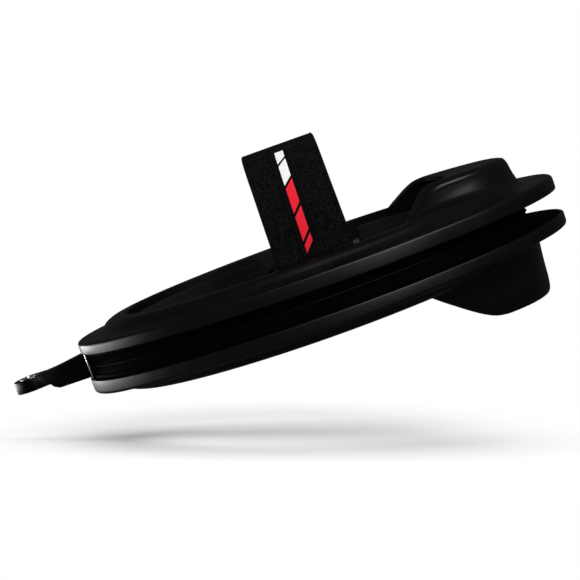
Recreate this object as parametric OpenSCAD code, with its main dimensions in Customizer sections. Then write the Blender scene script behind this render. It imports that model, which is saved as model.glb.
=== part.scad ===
// Oval training shield frame: two moulded shells clamped over a grooved rim,
// a hood over each side of the tail, a wide elastic strap and a tether lug.
// Millimetres. The ring is drawn about its own centre and parting plane, then
// every node is moved so that the origin is under the middle of the whole part.

/* [Ring] */
// Length of the ring from nose to tail, without the lug
ring_len = 504; // [480:1:620]
// Width of the ring
ring_w = 280; // [268:1:340]
// Length of the opening
opening_len = 372; // [340:1:390]
// Width of the opening
opening_w = 230; // [200:1:236]
// How far the opening lies towards the nose
opening_shift = 10; // [4:1:14]
// Height of the groove round the rim
groove_gap = 26; // [24:0.5:32]
// Depth of the groove at the nose
groove_nose = 6; // [5.5:0.5:10]
// Depth of the groove at the tail
groove_tail = 36; // [24:0.5:40]
// Depth of the groove at the sides
groove_side = 14; // [8:0.5:14]
// Height of the flange's edge above the groove
flange_h = 12.5; // [12:0.5:16]
// Rise of the deck from the flange's edge to the lip round the opening
lip_rise = 12; // [9:0.5:16]
// Wall of the moulded shells
shell_wall = 3.5; // [2.5:0.1:4]
// Wall of the grooved rim
rim_wall = 3; // [2:0.1:3.5]

/* [Hoods] */
// Height of the upper hood above the parting plane
upper_hood_h = 61; // [52:1:76]
// Depth of the lower hood below the parting plane
lower_hood_h = 86; // [60:1:110]
// Distance from the tail to the foot of each hood
hood_foot = 160; // [150:1:180]
// Distance from the tail to the front corners of the upper roof
upper_roof_front = 122; // [105:1:130]
// Distance from the tail to the front corners of the lower roof
lower_roof_front = 94; // [85:1:105]
// Distance from the tail to the rear edge of the upper roof
upper_roof_rear = 44; // [40:1:50]
// Distance from the tail to the rear edge of the lower roof
lower_roof_rear = 38; // [34:1:46]
// Distance from the tail to the foot of the hood's rear wall
hood_rear = 30; // [26:1:36]
// Width of the roof at its front corners
roof_w = 104; // [80:1:116]
// How far the middle of the roof's front edge is set back
roof_notch = 20; // [0:1:30]
// Wall of the hoods
hood_wall = 4; // [3:0.5:5]

/* [Liners] */
// Thickness of the soft liner in the opening
liner_t = 4; // [2:0.5:6]
// Height of the liner
liner_h = 58; // [30:1:60]
// Width of the gap in the liner where the strap is held
pocket_w = 112; // [106:1:130]

/* [Strap] */
// Width of the elastic webbing
strap_w = 75; // [50:1:76]
// Thickness of the elastic webbing
strap_t = 2.6; // [1.5:0.1:3]
// How far the strap stands from the ring's middle towards the tail
strap_shift = 3.5; // [-4:0.5:6]
// Height of the strap's crown above the lip
strap_rise = 106.5; // [70:0.5:140]
// Width of the woven tape along the middle
tape_w = 22; // [10:1:30]
// Thickness of the tape
tape_t = 0.6; // [0.4:0.1:1]
// Length of the clamp plates
plate_len = 100; // [96:1:104]
// Height of the clamp plates
plate_h = 34; // [30:1:38]
// Thickness of the clamp plates
plate_t = 3; // [2:0.5:4]
// Diameter of the rod sewn into each end of the strap
rod_d = 4; // [3:0.5:5]

/* [Tether lug] */
// How far the lug reaches past the nose
lug_reach = 75.5; // [74:0.5:90]
// Diameter of the hole in the eyelet
eye_d = 15; // [10:0.5:16]
// Radius of the round end of the blade
blade_r = 17.5; // [15:0.5:20]
// Thickness of the blade
blade_t = 12.3; // [10:0.1:16]
// Width of the neck
neck_w = 19; // [16:0.5:20]
// Length of the neck outside the ring
neck_len = 31.5; // [28:0.5:34]
// Length of the slope from neck to blade
shoulder_len = 8; // [6:0.5:12]
// Distance of the lug's pivot from the nose
pivot_inset = 15; // [14.5:0.25:16]
// Diameter of the pivot pin
pin_d = 8; // [6:0.5:8]
// Diameter of the two stop pins
stop_d = 2.5; // [2:0.25:3]
// Distance between the two stop pins
stop_span = 30; // [28:0.5:34]

/* [Fasteners] */
// Thread diameter of the screws
screw_d = 4; // [3:0.5:4.5]
// Diameter of the screw heads
head_d = 7.2; // [6:0.2:7.6]
// Height of the screw heads
head_h = 2.5; // [2:0.1:3]
// Outer diameter of the threaded standoffs between the shells
standoff_d = 10; // [9:0.5:11]
// Radial play of a screw in its hole
screw_play = 0.2; // [0.1:0.05:0.4]
// Gap between pieces that are fitted together
seat_gap = 0.2; // [0.1:0.05:0.3]

/* [Hidden] */
$fn = 64;

BLACK = [0.05, 0.05, 0.05];
LINER_GREY = [0.16, 0.16, 0.165];
WEB_BLACK = [0.03, 0.03, 0.03];
STEEL = [0.55, 0.56, 0.58];
BRASS = [0.72, 0.58, 0.28];
TAPE_RED = [0.75, 0.1, 0.12];

// ---- the three ovals that everything on the ring follows: [half length, half width, centre x] ----
STATIONS = 72;
half_len = ring_len / 2;
half_w = ring_w / 2;
lip_a = opening_len / 2;
lip_b = opening_w / 2;
OUTER = [half_len, half_w, 0];
FLOOR = [
    half_len - (groove_nose + groove_tail) / 2,
    half_w - groove_side,
    (groove_nose - groove_tail) / 2
];
LIP = [lip_a, lip_b, -opening_shift];

// A point of an oval at angle t, moved outwards by d
function oval_at(o, t, d) =
    let (n = [cos(t) / o[0], sin(t) / o[1]])
    [o[2] + o[0] * cos(t), o[1] * sin(t)] + d * n / norm(n);
// A point a share u of the way from the lip to the outer oval
function deck_at(t, u) = oval_at(LIP, t, 0) * (1 - u) + oval_at(OUTER, t, 0) * u;
// Half width of the opening at x
function lip_y(x) = lip_b * sqrt(1 - pow((x + opening_shift) / lip_a, 2));

// ---- solids swept round the ring; a section point is [oval, offset, z] or ["deck", share, z] ----
function band_point(p, t) =
    let (q = p[0] == "deck" ? deck_at(t, p[1]) : oval_at(p[0], t, p[1]))
    [q[0], q[1], p[2]];
function band_at(section, t) = [for (p = section) band_point(p, t)];
function ring_faces(k, n, closed) = [
    for (i = [0:n - (closed ? 1 : 2)]) for (j = [0:k - 1])
        let (a = i * k, b = ((i + 1) % n) * k, m = (j + 1) % k) [b + j, b + m, a + m, a + j]
];

// A band that goes all the way round
module ring_band(section) {
    points = [for (i = [0:STATIONS - 1]) each band_at(section, i * 360 / STATIONS)];
    polyhedron(points, ring_faces(len(section), STATIONS, true), convexity = 10);
}

// A solid through a list of sections, capped at both ends
module capped_sweep(sections) {
    k = len(sections[0]);
    n = len(sections);
    first = [for (j = [0:k - 1]) j];
    last = [for (j = [k - 1:-1:0]) (n - 1) * k + j];
    polyhedron([for (s = sections) each s], concat(ring_faces(k, n, false), [first], [last]), convexity = 10);
}

// The same piece on the other side of the parting plane
module below() mirror([0, 0, 1]) children();
// The same piece on the far side of the ring
module far_side() mirror([0, 1, 0]) children();

// Moves a piece from the ring's own centre to the part's frame
module placed() translate([lug_reach / 2, 0, lower_hood_h]) children();

// ---- shells: lip, sloping deck, bevelled edge band, and the skirt in the opening ----
gap_h = groove_gap / 2;
rim_h = gap_h + flange_h;
lip_h = rim_h + lip_rise;
deck_drop = lip_h - rim_h;
bevel_w = 4.6;
// Deck profile: share of the way out, share of the drop
DECK = [[0.22, 0.03], [0.36, 0.22], [0.5, 0.66], [0.66, 0.88]];
SHELL = concat(
    [[LIP, 0, seat_gap], [LIP, 0, lip_h - 1.6], [LIP, 1.6, lip_h]],
    [for (d = DECK) ["deck", d[0], lip_h - d[1] * deck_drop]],
    [[OUTER, -bevel_w, rim_h], [OUTER, -bevel_w * 0.28, rim_h - bevel_w * 0.28], [OUTER, 0, rim_h - bevel_w]],
    [[OUTER, 0, gap_h + 1.4], [OUTER, -1.4, gap_h], [OUTER, -shell_wall, gap_h], [OUTER, -shell_wall, rim_h - shell_wall - 0.6]],
    [for (i = [len(DECK) - 1:-1:1]) ["deck", DECK[i][0] - 0.02, lip_h - DECK[i][1] * deck_drop - shell_wall]],
    [[LIP, shell_wall, lip_h - shell_wall - 0.6], [LIP, shell_wall, seat_gap]]
);

// ---- standoffs that tie the shells together, and posts that press the rim home ----
STANDOFF_ANGLES = [38, 150, 168, 192, 210, 322];
POST_ANGLES = [20, 52, 90, 128, 232, 270, 308, 340];
post_r = 2.5;
function standoff_at(t) = oval_at(LIP, t, shell_wall + standoff_d / 2 + 0.8);
// The screw heads lie in deep recesses of the lower shell
recess = head_h + 1.7;
seat_t = 3.2;
function post_at(t) = (oval_at(FLOOR, t, 0) + oval_at(OUTER, t, -shell_wall)) / 2;
module at_standoffs() for (t = STANDOFF_ANGLES) translate(concat(standoff_at(t), [0])) children();

// ---- hoods: stations run round the tail from one foot to the other ----
HOOD_STATIONS = 40;
hood_end = 86;
foot_x = half_len - hood_foot;
foot_y = lip_y(foot_x) + 1.5;
// Level that the wall rises from, and level of its root inside the shell, above the liner at the sides
function hood_ground(t) = rim_h + 0.5 + 5 * pow(sin(t), 2);
function hood_root(t) = max(hood_ground(t) - 4 + 3 * pow(sin(t), 2), pow(sin(t), 2) * (liner_h / 2 + 0.9));
lead_share = 0.28;
lead_curve = 1.2;
// Wall profiles, as share of the way in and share of the rise: scooped sides, upright rear
SIDE_WALL = [[0.3, 0.1], [0.55, 0.3], [0.76, 0.58], [0.9, 0.83]];
REAR_WALL = [[0.16, 0.1], [0.4, 0.45], [0.55, 0.8], [0.75, 0.95]];

// How far station t is down the leading edge, from 0 at the roof's corner to 1 at the foot
function lead(t) = max(0, (abs(t) / 90 - 1 + lead_share) / lead_share);
function hood_base(t) = [foot_x + (hood_foot - hood_rear) * cos(t), foot_y * sin(t)];
function hood_crest(t, front, back_at) =
    let (k = lead(t), side = sign(t), r = min(90, abs(t) / (1 - lead_share)))
    k > 0
        ? [half_len - front + (front - hood_foot) * k, side * (roof_w / 2 + (foot_y - roof_w / 2) * k)]
        : [half_len - front + (front - back_at) * cos(r), side * roof_w / 2 * sin(r)];
// The edge of the roof that faces the nose, or of the wall along the leading edge
function hood_edge(t, front, back_at) =
    let (k = lead(t), c = hood_crest(t, front, back_at), side = sign(t), w = 1.3 * hood_wall, y = 0.9 * c[1])
    k > 0
        ? c + [-w + 0.8 * w * k, -side * w]
        : [min(c[0] - w, half_len - front + roof_notch * (1 - pow(2 * y / roof_w, 2))), y];

function hood_section(t, h, front, fall, back_at) =
    let (
        b = hood_base(t), c = hood_crest(t, front, back_at), e = hood_edge(t, front, back_at),
        back = (c[0] - half_len + front) / (front - back_at),
        top = lead(t) > 0 ? h - (h - lip_h + 1) * pow(lead(t), lead_curve) : h - fall * back,
        in = (c - b) / norm(c - b) * hood_wall, rear = pow(cos(t), 2),
        wall = [for (i = [0:3]) SIDE_WALL[i] * (1 - rear) + REAR_WALL[i] * rear],
        z0 = hood_ground(t), root = min(z0 - 0.4, hood_root(t))
    )
    concat(
        [[b[0] + in[0], b[1] + in[1], root], [b[0] + in[0], b[1] + in[1], z0]],
        [for (m = wall) let (p = b + (c - b) * m[0] + in) [p[0], p[1], z0 + (top - z0 - hood_wall) * m[1]]],
        [[c[0] + in[0], c[1] + in[1], top - hood_wall], [e[0], e[1], top - hood_wall], [e[0], e[1], top]],
        [[c[0], c[1], top]],
        [for (i = [3:-1:0]) let (m = wall[i], p = b + (c - b) * m[0]) [p[0], p[1], z0 + (top - z0) * m[1]]],
        [[b[0], b[1], z0], [b[0], b[1], root]]
    );
module hood(h, front, fall, back_at) {
    capped_sweep([
        for (i = [0:HOOD_STATIONS])
            hood_section(-hood_end + 2 * hood_end * i / HOOD_STATIONS, h, front, fall, back_at)
    ]);
}

// ---- stop pins and lug pivot ----
pivot_x = pivot_inset - half_len;
stop_boss_r = 2.8;
stop_x = 4.4 - half_len;
module at_stops() for (y = [-1, 1]) translate([stop_x, y * stop_span / 2, 0]) children();

// ---- strap anchors, mirrored to the far side ----
anchor_y = lip_y(strap_shift + plate_len / 2) - 3;
strap_y = anchor_y - seat_gap - strap_t / 2;
plate_y = strap_y - strap_t / 2 - seat_gap;
clamp_x = plate_len / 2 - 7;
clamp_z = 9;
nut_gap = 0.2;
nut_t = 2.5;
screw_hole = screw_d / 2 + screw_play;
// Drills along -Y at the four clamp screws on the near side
module at_clamp_screws(y) {
    for (x = [-1, 1]) for (z = [-1, 1])
        translate([strap_shift + x * clamp_x, -y, z * clamp_z]) rotate([90, 0, 0]) children();
}
module clamp_holes(r) at_clamp_screws(anchor_y - 30) cylinder(h = 60, r = r, $fn = 24);

// One shell, drawn upwards from the parting plane
module shell(h, front, fall, back_at) resize([0, 0, 0]) difference() {
    union() {
        ring_band(SHELL);
        hood(h, front, fall, back_at);
        for (t = POST_ANGLES) translate(concat(post_at(t), [gap_h + rim_wall + seat_gap]))
            cylinder(h = rim_h - shell_wall - gap_h - rim_wall + 0.5, r = post_r, $fn = 16);
        at_stops() translate([0, 0, gap_h]) cylinder(h = rim_h - gap_h - 2, r = stop_boss_r, $fn = 24);
    }
    at_stops() translate([0, 0, gap_h - 1]) cylinder(h = 8, r = stop_d / 2 + 0.05, $fn = 24);
    at_standoffs() translate([0, 0, -1]) cylinder(h = standoff_top + 1.05, r = standoff_d / 2 + 0.1, $fn = 64);
    clamp_holes(screw_hole);
    far_side() clamp_holes(screw_hole);
}
module upper_shell() color(BLACK) placed() shell(upper_hood_h, upper_roof_front, 3, upper_roof_rear);
module lower_shell() color(BLACK) placed() below() resize([0, 0, 0]) difference() {
    union() {
        shell(lower_hood_h, lower_roof_front, 0, lower_roof_rear);
        at_standoffs() translate([0, 0, lip_h - recess - seat_t])
            cylinder(h = seat_t + recess - 3, r = standoff_d / 2 + 1, $fn = 32);
    }
    at_standoffs() {
        cylinder(h = lip_h + 1, r = screw_hole, $fn = 24);
        translate([0, 0, lip_h - recess]) cylinder(h = recess + 1, r = head_d / 2 + 0.4, $fn = 32);
    }
}

// ---- rim: floor and cheek of the groove, with the boss for the lug's bush ----
bead_h = 0.6;
bead_out = 1.4;
step_z = 8.5;
step_out = 1.2;
bush_len = 6.5;
bush_r = pin_d / 2 + 1.5;
RIM = [
    [FLOOR, 0, bead_h + seat_gap], [FLOOR, -rim_wall, bead_h + seat_gap],
    [FLOOR, -rim_wall, gap_h + rim_wall], [OUTER, -shell_wall - seat_gap, gap_h + rim_wall],
    [OUTER, -shell_wall - seat_gap, gap_h], [FLOOR, step_out, gap_h],
    [FLOOR, step_out, step_z + 1], [FLOOR, 0, step_z]
];
// Pocket for the lug's hub in the nose of the groove's floor
pocket_half = 13.8;
pocket_end = pivot_x + 14.5;
module pocket() translate([-half_len - 8, -pocket_half, -gap_h])
    cube([pocket_end + half_len + 8, 2 * pocket_half, 2 * gap_h]);
module rim_half() resize([0, 0, 0]) difference() {
    union() {
        ring_band(RIM);
        translate([pivot_x, 0, gap_h + 0.5]) cylinder(h = bush_len - 0.5, r = bush_r + 3, $fn = 48);
        translate([groove_nose + 2.5 - half_len, -pocket_half - 3, bead_h + seat_gap])
            cube([pocket_end + 3 + half_len - groove_nose - 2.5, 2 * pocket_half + 6, gap_h + rim_wall - bead_h - seat_gap]);
    }
    pocket();
    translate([pivot_x, 0, gap_h - 1]) cylinder(h = bush_len + 2, r = bush_r + 0.05, $fn = 48);
    at_stops() translate([0, 0, gap_h - 0.7]) cylinder(h = rim_h, r = stop_boss_r + seat_gap, $fn = 24);
}
module upper_rim() color(BLACK) placed() rim_half();
module lower_rim() color(BLACK) placed() below() rim_half();

module seam_bead() color(BLACK) placed() resize([0, 0, 0]) difference() {
    ring_band([
        [FLOOR, bead_out, -bead_h], [FLOOR, -rim_wall, -bead_h], [FLOOR, -rim_wall, bead_h],
        [FLOOR, bead_out, bead_h], [FLOOR, bead_out + 0.4, 0]
    ]);
    pocket();
    at_stops() translate([0, 0, -2]) cylinder(h = 4, r = stop_d / 2 + 0.1, $fn = 24);
}

// ---- liners: soft bands in the opening, with gaps for the strap anchors ----
liner_round = 1.2;
LINER = [
    [LIP, -seat_gap, -liner_h / 2], [LIP, -liner_t + liner_round, -liner_h / 2],
    [LIP, -liner_t, liner_round - liner_h / 2], [LIP, -liner_t, liner_h / 2 - liner_round],
    [LIP, -liner_t + liner_round, liner_h / 2], [LIP, -seat_gap, liner_h / 2]
];
function lip_angle(x) = acos((x + opening_shift) / lip_a);
module liner(from, to, n) color(LINER_GREY) placed()
    capped_sweep([for (i = [0:n]) band_at(LINER, from + (to - from) * i / n)]);
module nose_liner() liner(lip_angle(-pocket_w / 2), 360 - lip_angle(-pocket_w / 2), 44);
module tail_liner() liner(-lip_angle(pocket_w / 2), lip_angle(pocket_w / 2), 40);

// ---- strap: its middle line runs up one wall, over the crown and down the other ----
strap_foot_z = lip_h - 7.5;
crown_z = lip_h + strap_rise - strap_t / 2 - tape_t;
arch_power = 2.2;
ARCH_STEPS = 60;
hem_r = rod_d / 2 + strap_t;
hem_z = -plate_h / 2 - hem_r - 1;
function arch_at(a) = [
    -sign(cos(a)) * strap_y * pow(abs(cos(a)), 2 / arch_power),
    strap_foot_z + (crown_z - strap_foot_z) * pow(max(0, sin(a)), 2 / arch_power)
];
function arch_normal(a) =
    let (d = arch_at(min(180, a + 0.5)) - arch_at(max(0, a - 0.5))) [-d[1], d[0]] / norm(d);
// The arch's middle line moved outwards by d, between two angles
function arch_line(from, to, d) = [
    for (i = [0:ARCH_STEPS]) let (a = from + (to - from) * i / ARCH_STEPS) arch_at(a) + d * arch_normal(a)
];
// Turns a drawing in Y and Z into a solid of width w across X
module across(w) translate([strap_shift - w / 2, 0, 0]) rotate([90, 0, 90]) linear_extrude(w) children();

// The sewn tubes at the strap's ends that hold the rods
module hems(r, w) {
    for (y = [-1, 1])
        translate([strap_shift - w / 2, y * strap_y, hem_z]) rotate([0, 90, 0]) cylinder(h = w, r = r);
}
module strap_webbing() color(WEB_BLACK) placed() difference() {
    union() {
        across(strap_w) polygon(concat(
            [[-strap_y - strap_t / 2, hem_z]], arch_line(0, 180, strap_t / 2),
            [[strap_y + strap_t / 2, hem_z], [strap_y - strap_t / 2, hem_z]],
            arch_line(180, 0, -strap_t / 2), [[-strap_y + strap_t / 2, hem_z]]
        ));
        hems(hem_r, strap_w);
    }
    hems(rod_d / 2 + 0.1, strap_w + 2);
}

tape_start = 4;
tape_gap = 0.1;
module stripe_tape() color(TAPE_RED) placed() across(tape_w) polygon(concat(
    arch_line(tape_start, 180 - tape_start, strap_t / 2 + tape_gap + tape_t),
    arch_line(180 - tape_start, tape_start, strap_t / 2 + tape_gap)
));

// ---- strap anchors ----
BLOCK_STEPS = 20;
block_h = plate_h;
module anchor_block() color(BLACK) difference() {
    translate([0, 0, -block_h / 2]) linear_extrude(block_h) polygon(concat(
        [[strap_shift + plate_len / 2, -anchor_y], [strap_shift - plate_len / 2, -anchor_y]],
        [for (i = [0:BLOCK_STEPS]) let (x = strap_shift - plate_len / 2 + plate_len * i / BLOCK_STEPS)
            [x, seat_gap + 0.1 - lip_y(x)]]
    ));
    clamp_holes(screw_hole);
}
module near_anchor_block() placed() anchor_block();
module far_anchor_block() placed() far_side() anchor_block();

plate_corner = 6;
module clamp_plate() color(STEEL) difference() {
    translate([strap_shift, -plate_y + plate_t, 0]) rotate([90, 0, 0]) linear_extrude(plate_t) union() {
        square([plate_len - 2 * plate_corner, plate_h], center = true);
        square([plate_len, plate_h - 2 * plate_corner], center = true);
        for (x = [-1, 1]) for (z = [-1, 1])
            translate([x * (plate_len / 2 - plate_corner), z * (plate_h / 2 - plate_corner)])
                circle(r = plate_corner);
    }
    clamp_holes(screw_hole);
}
module near_clamp_plate() placed() clamp_plate();
module far_clamp_plate() placed() far_side() clamp_plate();

// Threaded strip behind the skirt, curved with it
nut_half = 20;
nut_angle = (lip_angle(strap_shift - clamp_x - 6) - lip_angle(strap_shift + clamp_x + 6)) / 2;
nut_mid = -(lip_angle(strap_shift - clamp_x - 6) + lip_angle(strap_shift + clamp_x + 6)) / 2;
NUT = [
    [LIP, shell_wall + nut_gap + nut_t, -14], [LIP, shell_wall + nut_gap, -14],
    [LIP, shell_wall + nut_gap, 14], [LIP, shell_wall + nut_gap + nut_t, 14]
];
module nut_strip() color(STEEL) difference() {
    capped_sweep([for (i = [0:nut_half]) band_at(NUT, nut_mid + nut_angle * (2 * i / nut_half - 1))]);
    clamp_holes(screw_d / 2 + 0.02);
}
module near_nut_strip() placed() nut_strip();
module far_nut_strip() placed() far_side() nut_strip();

module strap_rod() color(STEEL) translate([strap_shift - strap_w / 2 + 1, -strap_y, hem_z]) rotate([0, 90, 0])
    cylinder(h = strap_w - 2, r = rod_d / 2);
module near_strap_rod() placed() strap_rod();
module far_strap_rod() placed() far_side() strap_rod();

// Screws point away from the opening; the origin is under the head
module screw(len) {
    difference() {
        translate([0, 0, -head_h]) cylinder(h = head_h, r = head_d / 2);
        translate([0, 0, -head_h - 1]) cylinder(h = 2.4, r = screw_d * 0.36, $fn = 6);
    }
    translate([0, 0, -0.1]) cylinder(h = len + 0.1, r = screw_d / 2);
}
clamp_screw_len = shell_wall + nut_gap + nut_t + lip_y(clamp_x - abs(strap_shift)) - plate_y + plate_t + 1;
module clamp_screws() color(STEEL) at_clamp_screws(plate_y - plate_t - seat_gap / 2)
    screw(clamp_screw_len);
module near_clamp_screws() placed() clamp_screws();
module far_clamp_screws() placed() far_side() clamp_screws();

// Screws come up from below into the standoffs, which stand in the upper shell
screw_bite = 14;
standoff_top = lip_h - recess - seat_t - 0.1;
module case_screws() color(STEEL) placed() below() at_standoffs() translate([0, 0, lip_h - recess + 0.1])
    mirror([0, 0, 1]) screw(seat_t + screw_bite);
module case_standoffs() color(STEEL) placed() at_standoffs() difference() {
    translate([0, 0, -standoff_top]) cylinder(h = 2 * standoff_top, r = standoff_d / 2);
    translate([0, 0, -standoff_top - 1]) cylinder(h = screw_bite + 2, r = screw_d / 2 + 0.02);
}

// ---- tether lug: hub on the pivot pin, neck between the flanges, blade with an eyelet ----
hub_r = pin_d / 2 + 7;
hub_z = gap_h - 1.6;
neck_z = gap_h - 0.4;
neck_end = -half_len - neck_len;
shoulder_end = neck_end - shoulder_len;
tip_x = -half_len - lug_reach;
eye_x = tip_x + blade_r;
eye_sleeve = eye_d / 2 + 2;
blade_join = 10;
// The blade's middle lies a little above the parting plane
blade_rise = 0.85;
module lug_plan() {
    translate([pivot_x, 0]) circle(r = hub_r);
    translate([neck_end, -neck_w / 2]) square([pivot_x - neck_end, neck_w]);
    translate([eye_x, 0]) circle(r = blade_r);
    polygon([
        [neck_end, -neck_w / 2], [neck_end, neck_w / 2],
        [eye_x + blade_join, sqrt(pow(blade_r, 2) - pow(blade_join, 2))], [eye_x, 0],
        [eye_x + blade_join, -sqrt(pow(blade_r, 2) - pow(blade_join, 2))]
    ]);
}
function lug_side() =
    let (
        x1 = pivot_x + hub_r + 1, x2 = pivot_x - hub_r - 1,
        over = blade_rise + blade_t / 2, under = blade_rise - blade_t / 2
    )
    [
        [x1, hub_z], [x2, hub_z], [x2, neck_z - 0.8], [-half_len - 4, neck_z - 1],
        [shoulder_end + 17, over + 2], [shoulder_end + 3, over + 0.5], [shoulder_end - 3, over],
        [tip_x - 1, over], [tip_x - 1, under], [shoulder_end + 0.5, under],
        [shoulder_end + shoulder_len * 0.35, under - (neck_z + under) * 0.5], [neck_end, 0.5 - neck_z],
        [x2, -neck_z], [x2, -hub_z], [x1, -hub_z]
    ];
module tether_lug() color(BLACK) placed() difference() {
    intersection() {
        translate([0, 0, -gap_h]) linear_extrude(groove_gap) lug_plan();
        translate([0, blade_r + 1, 0]) rotate([90, 0, 0]) linear_extrude(2 * blade_r + 2) polygon(lug_side());
    }
    translate([pivot_x, 0, -gap_h]) cylinder(h = groove_gap, r = pin_d / 2 + 0.02);
    translate([eye_x, 0, -gap_h]) cylinder(h = groove_gap, r = eye_sleeve + 0.02);
}

eye_flange = 0.8;
module lug_eyelet() color(STEEL) placed() translate([eye_x, 0, blade_rise]) rotate_extrude() polygon([
    [eye_d / 2, -blade_t / 2 - eye_flange], [eye_sleeve + 2, -blade_t / 2 - eye_flange],
    [eye_sleeve + 2, -blade_t / 2 - 0.05], [eye_sleeve, -blade_t / 2 - 0.05],
    [eye_sleeve, blade_t / 2 + 0.05], [eye_sleeve + 2, blade_t / 2 + 0.05],
    [eye_sleeve + 2, blade_t / 2 + eye_flange], [eye_d / 2, blade_t / 2 + eye_flange]
]);

pin_half = gap_h + bush_len + 2.1;
clip_z = gap_h + bush_len + 0.3;
clip_t = 1;
clip_seat = 0.8;
module lug_pin() color(STEEL) placed() translate([pivot_x, 0, 0]) difference() {
    translate([0, 0, -pin_half]) cylinder(h = 2 * pin_half, r = pin_d / 2);
    for (z = [clip_z - 0.1, -clip_z - clip_t - 0.1]) translate([0, 0, z]) difference() {
        cylinder(h = clip_t + 0.2, r = pin_d);
        translate([0, 0, -1]) cylinder(h = clip_t + 3, r = pin_d / 2 - clip_seat);
    }
}
module pin_clips() color(STEEL) placed() translate([pivot_x, 0, 0])
    for (z = [clip_z, -clip_z - clip_t]) translate([0, 0, z]) difference() {
        cylinder(h = clip_t, r = pin_d / 2 + 2.5);
        translate([0, 0, -1]) cylinder(h = clip_t + 2, r = pin_d / 2 - clip_seat + 0.1);
    }
module lug_bush() color(BRASS) translate([pivot_x, 0, gap_h + 0.05]) difference() {
    cylinder(h = bush_len, r = bush_r);
    translate([0, 0, -1]) cylinder(h = bush_len + 2, r = pin_d / 2 + 0.05);
}
module upper_lug_bush() placed() lug_bush();
module lower_lug_bush() placed() below() lug_bush();
washer_gap = 0.15;
module thrust_washer() color(BRASS) translate([pivot_x, 0, hub_z + washer_gap]) difference() {
    cylinder(h = gap_h - hub_z - 2 * washer_gap, r = pin_d / 2 + 4.5);
    translate([0, 0, -1]) cylinder(h = 4, r = pin_d / 2 + 0.08);
}
module upper_thrust_washer() placed() thrust_washer();
module lower_thrust_washer() placed() below() thrust_washer();
module stop_pins() color(STEEL) placed() at_stops()
    translate([0, 0, -gap_h - 6]) cylinder(h = groove_gap + 12, r = stop_d / 2, $fn = 32);

upper_shell();
lower_shell();
upper_rim();
lower_rim();
seam_bead();
nose_liner();
tail_liner();
strap_webbing();
stripe_tape();
near_anchor_block();
far_anchor_block();
near_clamp_plate();
far_clamp_plate();
near_nut_strip();
far_nut_strip();
near_strap_rod();
far_strap_rod();
near_clamp_screws();
far_clamp_screws();
case_screws();
case_standoffs();
tether_lug();
lug_eyelet();
lug_pin();
pin_clips();
upper_lug_bush();
lower_lug_bush();
upper_thrust_washer();
lower_thrust_washer();
stop_pins();
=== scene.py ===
import math

import bpy
import numpy as np
from mathutils import Matrix, Vector


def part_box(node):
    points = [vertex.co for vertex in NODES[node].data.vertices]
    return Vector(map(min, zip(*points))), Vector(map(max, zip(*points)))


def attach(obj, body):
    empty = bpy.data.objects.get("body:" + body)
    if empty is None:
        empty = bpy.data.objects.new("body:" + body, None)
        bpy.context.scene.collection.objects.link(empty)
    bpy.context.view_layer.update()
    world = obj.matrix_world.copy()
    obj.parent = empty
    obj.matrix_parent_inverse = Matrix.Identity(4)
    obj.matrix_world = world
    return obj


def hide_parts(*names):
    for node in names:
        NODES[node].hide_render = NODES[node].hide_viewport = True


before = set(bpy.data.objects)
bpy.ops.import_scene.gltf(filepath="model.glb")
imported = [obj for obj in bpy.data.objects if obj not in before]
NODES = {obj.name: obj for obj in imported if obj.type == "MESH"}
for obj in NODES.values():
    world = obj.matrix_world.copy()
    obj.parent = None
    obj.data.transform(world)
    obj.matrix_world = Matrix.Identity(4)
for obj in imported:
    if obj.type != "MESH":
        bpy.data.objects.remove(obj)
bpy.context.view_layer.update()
scene = bpy.context.scene


def mid(node, axis):
    lo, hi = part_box(node)
    return (lo[axis] + hi[axis]) / 2


# The ring is drawn about its own centre and parting plane, in millimetres
RING = np.array([mid("upper_shell", 0) * 1000, 0.0, mid("seam_bead", 2) * 1000])


def place(points):
    return (np.asarray(points, float) + RING) / 1000


# ------------------------------------------------------------------ sizes, as in the CAD model, mm
TAU = 2 * math.pi
HALF_L = 252.0
# each oval: half length, half width, and where its centre lies along the ring
OUTER = (HALF_L, 140.0, 0.0)
FLOOR = (231.0, 126.0, -15.0)
LIP = (186.0, 115.0, -10.0)
GAP_H, RIM_H, LIP_H = 13.0, 25.5, 37.5
SHELL_WALL, RIM_WALL, SEAT_GAP = 3.5, 3.0, 0.2
DROP = LIP_H - RIM_H


# ------------------------------------------------------------------ helpers for curves and grids
def smooth_curve(xs, ys, x):
    """Monotone cubic through the given points."""
    xs, ys, x = np.asarray(xs, float), np.asarray(ys, float), np.asarray(x, float)
    h, d = np.diff(xs), np.diff(ys) / np.diff(xs)
    m = np.zeros(len(xs))
    for i in range(1, len(xs) - 1):
        if d[i - 1] * d[i] > 0:
            w1, w2 = 2 * h[i] + h[i - 1], h[i] + 2 * h[i - 1]
            m[i] = (w1 + w2) / (w1 / d[i - 1] + w2 / d[i])
    m[0], m[-1] = d[0], d[-1]
    i = np.clip(np.searchsorted(xs, x) - 1, 0, len(xs) - 2)
    t = (x - xs[i]) / h[i]
    return (
        (2 * t**3 - 3 * t**2 + 1) * ys[i]
        + (t**3 - 2 * t**2 + t) * h[i] * m[i]
        + (3 * t**2 - 2 * t**3) * ys[i + 1]
        + (t**3 - t**2) * h[i] * m[i + 1]
    )


def step(a, b, x):
    t = np.clip((np.asarray(x, float) - a) / (b - a), 0, 1)
    return t * t * (3 - 2 * t)


def oval(o, t, d=0.0):
    """Point of an oval at angle t, moved outwards by d."""
    c, s = np.cos(t), np.sin(t)
    nx, ny = c / o[0], s / o[1]
    n = np.hypot(nx, ny)
    return np.stack([o[2] + o[0] * c + d * nx / n, o[1] * s + d * ny / n], -1)


def raised(q, z):
    """Plan points at height z, which is one number or one for each point."""
    return np.concatenate([q, np.broadcast_to(np.asarray(z, float), q.shape[:-1])[..., None]], -1)


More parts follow.
